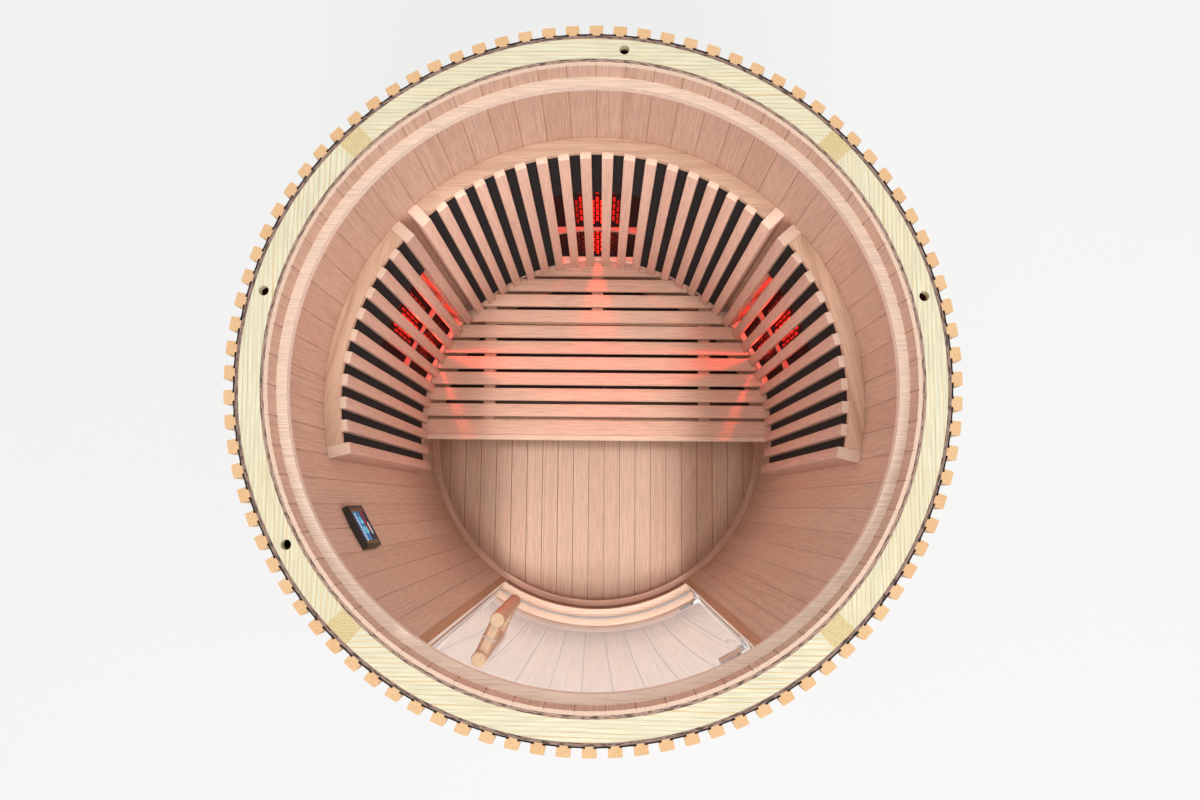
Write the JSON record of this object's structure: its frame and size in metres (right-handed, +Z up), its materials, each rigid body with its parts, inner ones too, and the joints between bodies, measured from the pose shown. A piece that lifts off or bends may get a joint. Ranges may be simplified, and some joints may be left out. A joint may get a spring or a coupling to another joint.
{
  "type": "round infrared sauna cabin",
  "caption": "Round wooden infrared sauna cabin with a slatted bench, curved slatted backrests over heaters, and a curved glass door; open at the top.",
  "frame": {"origin": "on the ground at the centre of the round cabin", "axes": "+Z up; the door faces -Y; +X is to the right of the door seen from inside looking out at the door from above, where its hinges are"},
  "size_m": [1.5, 1.5, 1.94],
  "materials": {
    "hemlock": "satin",
    "pine": "planed",
    "pine_post": "planed",
    "plywood": "sawn edge",
    "batten_wood": "satin",
    "black_strip": "matt",
    "floor_board": "satin",
    "frame_wood": "satin",
    "clear_seal": "translucent",
    "steel": "polished",
    "door_glass": "clear",
    "handle_wood": "satin",
    "heater_film": "matt",
    "emitter_red": "glowing",
    "panel_plastic": "satin",
    "screen": "lit"
  },
  "bodies": {
    "cabin": {"base_ring": "pine", "floor_bearers": "pine_post", "floor_deck": "floor_board", "floor_skirting": "floor_board", "door_sill": "frame_wood", "top_plate_back": "pine", "top_plate_left": "pine", "top_plate_right": "pine", "top_plate_front": "pine", "corner_posts": "pine_post", "outer_skin_back": "plywood", "outer_skin_left": "plywood", "outer_skin_right": "plywood", "outer_skin_front": "plywood", "inner_skin_back": "plywood", "inner_skin_left": "plywood", "inner_skin_right": "plywood", "inner_skin_front": "plywood", "wall_boards": "hemlock", "battens": "batten_wood", "gap_strips": "black_strip", "ceiling_ledge": "hemlock", "door_jambs": "frame_wood", "door_header": "frame_wood", "jamb_seals": "clear_seal", "hinge_brackets": "steel", "bench_slats": "hemlock", "bench_bearers": "hemlock", "bench_cleat": "hemlock", "backrest_slats_left": "hemlock", "backrest_slats_middle": "hemlock", "backrest_slats_right": "hemlock", "backrest_frame_left": "hemlock", "backrest_frame_middle": "hemlock", "backrest_frame_right": "hemlock", "heater_panels": "heater_film", "emitter_boxes": "hemlock", "emitters": "emitter_red", "control_panel": "panel_plastic", "control_screen": "screen"},
    "door": {"door_glass": "door_glass", "door_handles": "handle_wood", "handle_standoffs": "steel", "door_hinges": "steel", "door_sweep": "clear_seal"}
  },
  "joints": [
    {"name": "door_swing", "type": "hinge", "parent": "cabin", "child": "door", "pos_m": [0.36033, -0.60596, 0.94], "axis": [0, 0, 1], "range_deg": [0, 90]}
  ]
}
